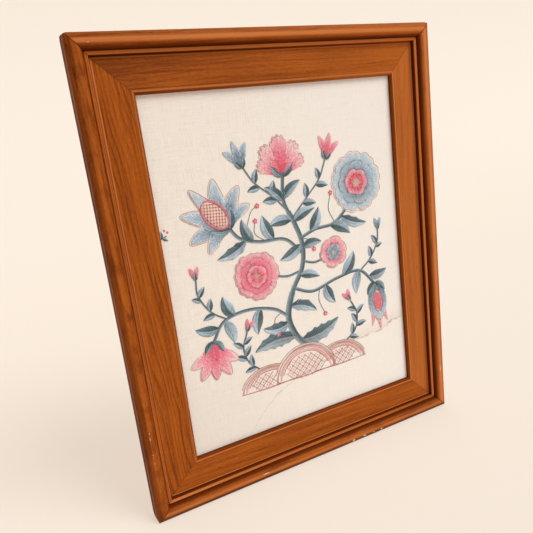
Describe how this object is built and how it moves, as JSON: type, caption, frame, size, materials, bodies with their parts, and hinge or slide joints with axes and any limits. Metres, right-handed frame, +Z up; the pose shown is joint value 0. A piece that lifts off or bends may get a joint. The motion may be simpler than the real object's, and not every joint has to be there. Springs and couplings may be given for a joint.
{
  "type": "framed crewel embroidery in a wooden picture frame",
  "caption": "Upright wooden picture frame of moulded, mitred rails, holding crewel-work linen stretched over a board.",
  "frame": {"origin": "bottom centre of the frame's outer box, on the surface that it stands on", "axes": "+Z up the picture, +X to the viewer's right, and the picture faces -Y"},
  "size_m": [0.3658, 0.0204, 0.4419],
  "materials": {
    "frame_wood": "satin lacquer over a warm orange-brown stain",
    "linen_ground": "natural plain weave, matt",
    "mount_board": "plain grey-brown board, matt",
    "wool_blue": "crewel wool stitches, dusty blue shaded from slate to pale, matt",
    "wool_teal": "crewel wool stitches, dark teal to slate, matt",
    "wool_coral": "crewel wool stitches, coral pink shaded from deep to pale, matt",
    "wool_rust": "crewel wool stitches, rose-brown, matt",
    "wool_cream": "crewel wool stitches, warm cream, matt"
  },
  "bodies": {
    "root": {"bottom_rail": "frame_wood", "right_stile": "frame_wood", "top_rail": "frame_wood", "left_stile": "frame_wood", "linen": "linen_ground", "mount_board": "mount_board"}
  },
  "joints": []
}
